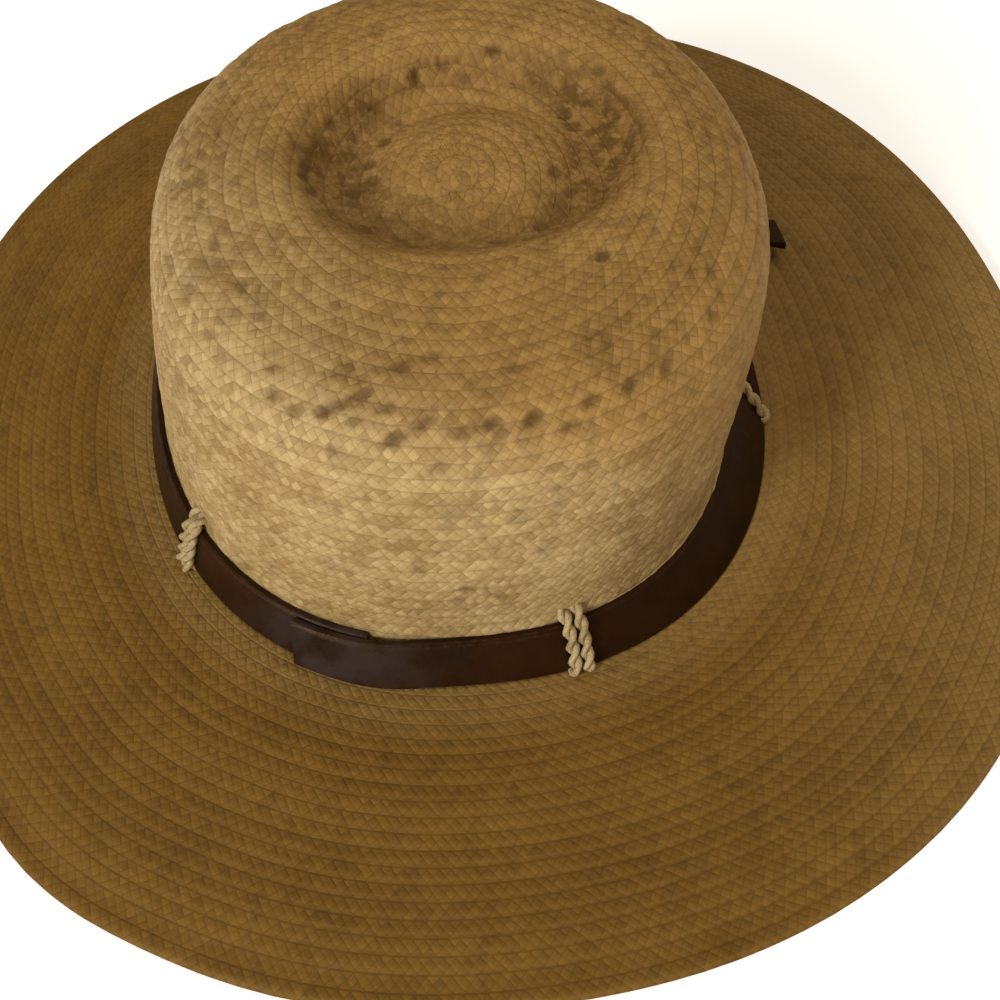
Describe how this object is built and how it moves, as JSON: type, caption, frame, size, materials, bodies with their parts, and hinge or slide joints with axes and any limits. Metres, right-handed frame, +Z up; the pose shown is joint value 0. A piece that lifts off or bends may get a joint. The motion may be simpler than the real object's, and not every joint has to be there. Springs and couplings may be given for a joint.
{
  "type": "raffia hat",
  "caption": "Wide-brimmed raffia sun hat: leaning oval crown with a dished top, and a leather band held by raffia keepers.",
  "frame": {"origin": "middle of the brim's outline, on the surface that the hat rests on", "axes": "+Z up out of the crown, -Y towards the front of the hat, +Y along the head towards the back, +X to the right as seen from the front"},
  "size_m": [0.365, 0.399, 0.1058],
  "materials": {
    "crown_straw": "woven pale raffia with darker flecks, matt with a slight silky sheen",
    "brim_straw": "sewn rows of brown raffia braid, matt",
    "leather": "dark brown smooth leather, half gloss",
    "raffia": "twisted pale raffia strands, matt"
  },
  "bodies": {
    "root": {"crown": "crown_straw", "brim": "brim_straw", "hat_band": "leather", "keeper_front": "raffia", "keeper_left": "raffia", "keeper_right": "raffia", "keeper_back_right": "raffia", "keeper_back_left": "raffia", "band_tie": "leather"}
  },
  "joints": []
}
